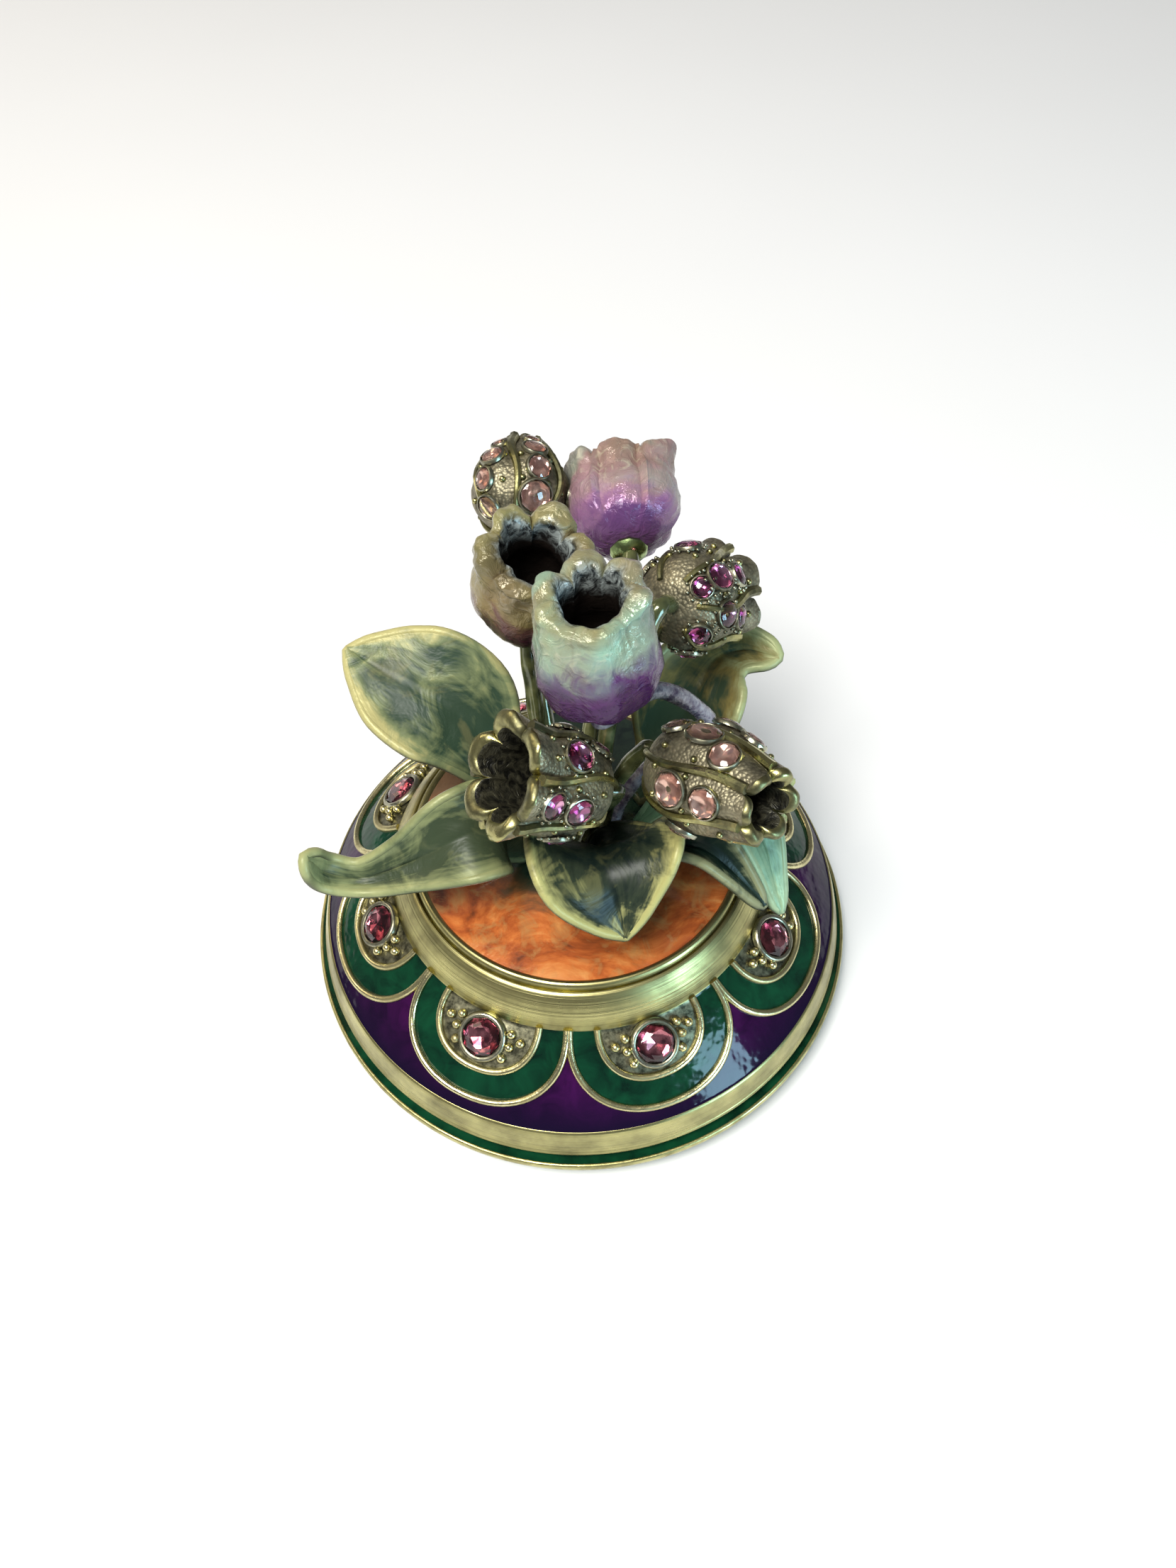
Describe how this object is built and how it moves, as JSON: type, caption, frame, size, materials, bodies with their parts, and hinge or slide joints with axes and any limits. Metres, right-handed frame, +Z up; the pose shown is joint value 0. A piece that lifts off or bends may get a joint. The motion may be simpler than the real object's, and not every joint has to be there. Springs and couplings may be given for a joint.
{
  "type": "enamel trinket box",
  "caption": "Round enamelled trinket box with a domed lift-off lid, scalloped jewelled band and a bouquet of cast tulips and leaves as its handle; hollow and empty.",
  "frame": {"origin": "centre of the flat underside of the base", "axes": "+Z up; the picture looks along +Y from the front and above, with +X to the right"},
  "size_m": [0.064, 0.064, 0.0633],
  "materials": {
    "antique_brass": "antiqued brass plating on cast pewter, satin, with a translucent green enamel groove",
    "band_enamel": "glossy purple and green enamel between brass wires, brass ring, orange pearl enamel disc",
    "rose_crystal": "faceted, foil-backed, very glossy",
    "jewelled_brass": "dark antiqued brass with raised ribs, beads and set crystals",
    "tulip_enamel": "glossy pearl enamel, cream and aqua above, violet below",
    "stem_enamel": "glossy olive enamel",
    "leaf_enamel": "glossy translucent green enamel with bare brass edges"
  },
  "bodies": {
    "root": {"base": "antique_brass", "lid": "band_enamel", "lobe_crystal_1": "rose_crystal", "lobe_crystal_2": "rose_crystal", "lobe_crystal_3": "rose_crystal", "lobe_crystal_4": "rose_crystal", "lobe_crystal_5": "rose_crystal", "lobe_crystal_6": "rose_crystal", "lobe_crystal_7": "rose_crystal", "lobe_crystal_8": "rose_crystal", "bud_back_left": "jewelled_brass", "tulip_back_right": "tulip_enamel", "tulip_upper_left": "tulip_enamel", "tulip_centre": "tulip_enamel", "tulip_right": "jewelled_brass", "tulip_lower_left": "jewelled_brass", "tulip_lower_right": "jewelled_brass", "stem_of_bud_back_left": "stem_enamel", "stem_of_tulip_back_right": "stem_enamel", "stem_of_tulip_upper_left": "stem_enamel", "stem_of_tulip_centre": "stem_enamel", "stem_of_tulip_right": "stem_enamel", "stem_of_tulip_lower_left": "stem_enamel", "stem_of_tulip_lower_right": "stem_enamel", "leaf_back_left": "leaf_enamel", "leaf_front_left": "leaf_enamel", "leaf_front": "leaf_enamel", "leaf_front_right": "leaf_enamel", "leaf_right": "leaf_enamel", "leaf_back_right": "leaf_enamel"}
  },
  "joints": []
}
